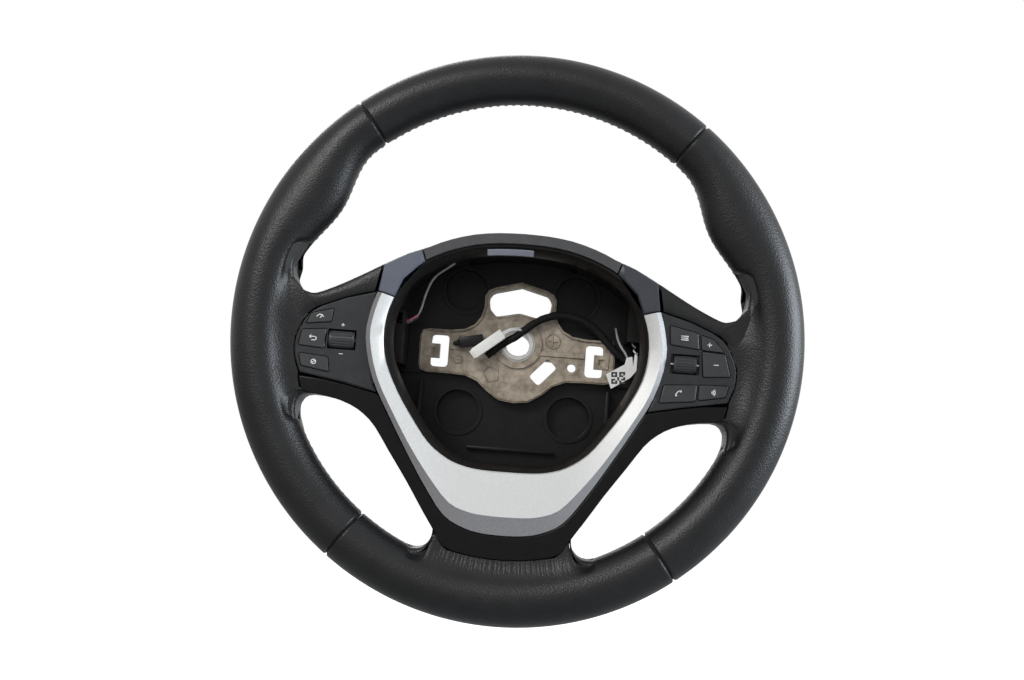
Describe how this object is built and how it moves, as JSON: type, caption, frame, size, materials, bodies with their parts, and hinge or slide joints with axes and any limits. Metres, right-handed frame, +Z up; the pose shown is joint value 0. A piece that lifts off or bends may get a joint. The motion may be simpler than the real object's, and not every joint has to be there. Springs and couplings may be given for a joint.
{
  "type": "steering wheel",
  "caption": "Leather car steering wheel with an open hub, a cast frame, silver trim, sprung switch packs and a harness, for a splined shaft.",
  "frame": {"origin": "on the steering axis at the middle of the hub bore's rear end", "axes": "+Z up to 12 o'clock, +X to 3 o'clock as the driver sees it, the driver looks along +Y"},
  "size_m": [0.3696, 0.1015, 0.3696],
  "materials": {
    "cast": "cast, dull",
    "steel": "machined",
    "foam": "integral skin foam",
    "leather": "fine grain, satin",
    "cover": "fine texture",
    "liner": "moulded, dull",
    "shoulder": "smooth, satin",
    "trim": "satin silver",
    "lower": "satin black",
    "screw": "blackened",
    "panel": "fine texture",
    "key": "fine texture",
    "board": "solder mask",
    "mat": "silicone",
    "inner": "moulded",
    "pin": "ground",
    "tape": "cloth tape",
    "grommet": "moulded",
    "plug_white": "moulded",
    "plug_black": "moulded",
    "wire_white": "insulation",
    "wire_grey": "insulation",
    "paper": "printed film",
    "label": "blank film"
  },
  "bodies": {
    "wheel": {"armature": "cast", "hub_insert": "steel", "rim_foam": "foam", "leather_top": "leather", "leather_left": "leather", "leather_bottom": "leather", "leather_right": "leather", "back_cover": "cover", "hub_liner": "liner", "shoulder_left": "shoulder", "shoulder_right": "shoulder", "trim": "trim", "lower_cover": "lower", "cover_screws": "screw", "pack_left": "panel", "pack_right": "panel", "pack_base_left": "inner", "pack_base_right": "inner", "board_left": "board", "board_right": "board", "key_mat_left": "mat", "key_mat_right": "mat", "pack_screws": "screw", "rocker_pin": "pin", "sleeve": "tape", "sleeve_grommet": "grommet", "plug_white": "plug_white", "plug_black": "plug_black", "white_lead": "wire_white", "left_wire": "wire_white", "right_wire": "wire_grey", "wire_tag": "paper", "label_strip": "label"},
    "key_limit": {"key_limit": "key"},
    "key_resume": {"key_resume": "key"},
    "key_cancel": {"key_cancel": "key"},
    "key_mode": {"key_mode": "key"},
    "key_plus": {"key_plus": "key"},
    "key_minus": {"key_minus": "key"},
    "key_phone": {"key_phone": "key"},
    "key_voice": {"key_voice": "key"},
    "rocker": {"rocker": "key"},
    "roller_cradle": {"roller_cradle": "inner", "roller_pin": "pin"},
    "roller": {"roller": "key"}
  },
  "joints": [
    {"name": "limit_press", "type": "slide", "parent": "wheel", "child": "key_limit", "axis": [0, 1, 0], "range_m": [0, 0.001], "stiffness_N_per_m": 800},
    {"name": "resume_press", "type": "slide", "parent": "wheel", "child": "key_resume", "axis": [0, 1, 0], "range_m": [0, 0.001], "stiffness_N_per_m": 800},
    {"name": "cancel_press", "type": "slide", "parent": "wheel", "child": "key_cancel", "axis": [0, 1, 0], "range_m": [0, 0.001], "stiffness_N_per_m": 800},
    {"name": "mode_press", "type": "slide", "parent": "wheel", "child": "key_mode", "axis": [0, 1, 0], "range_m": [0, 0.001], "stiffness_N_per_m": 800},
    {"name": "plus_press", "type": "slide", "parent": "wheel", "child": "key_plus", "axis": [0, 1, 0], "range_m": [0, 0.001], "stiffness_N_per_m": 800},
    {"name": "minus_press", "type": "slide", "parent": "wheel", "child": "key_minus", "axis": [0, 1, 0], "range_m": [0, 0.001], "stiffness_N_per_m": 800},
    {"name": "phone_press", "type": "slide", "parent": "wheel", "child": "key_phone", "axis": [0, 1, 0], "range_m": [0, 0.001], "stiffness_N_per_m": 800},
    {"name": "voice_press", "type": "slide", "parent": "wheel", "child": "key_voice", "axis": [0, 1, 0], "range_m": [0, 0.001], "stiffness_N_per_m": 800},
    {"name": "rocker_tip", "type": "hinge", "parent": "wheel", "child": "rocker", "pos_m": [-0.1115, -0.0888, -0.0103], "axis": [1, 0, 0], "range_deg": [-8, 8], "stiffness_Nm_per_rad": 0.2},
    {"name": "roller_press", "type": "slide", "parent": "wheel", "child": "roller_cradle", "axis": [0, 1, 0], "range_m": [0, 0.0008], "stiffness_N_per_m": 1000},
    {"name": "roller_turn", "type": "hinge", "parent": "roller_cradle", "child": "roller", "pos_m": [0.1085, -0.0888, -0.0102], "axis": [1, 0, 0], "continuous": true}
  ]
}
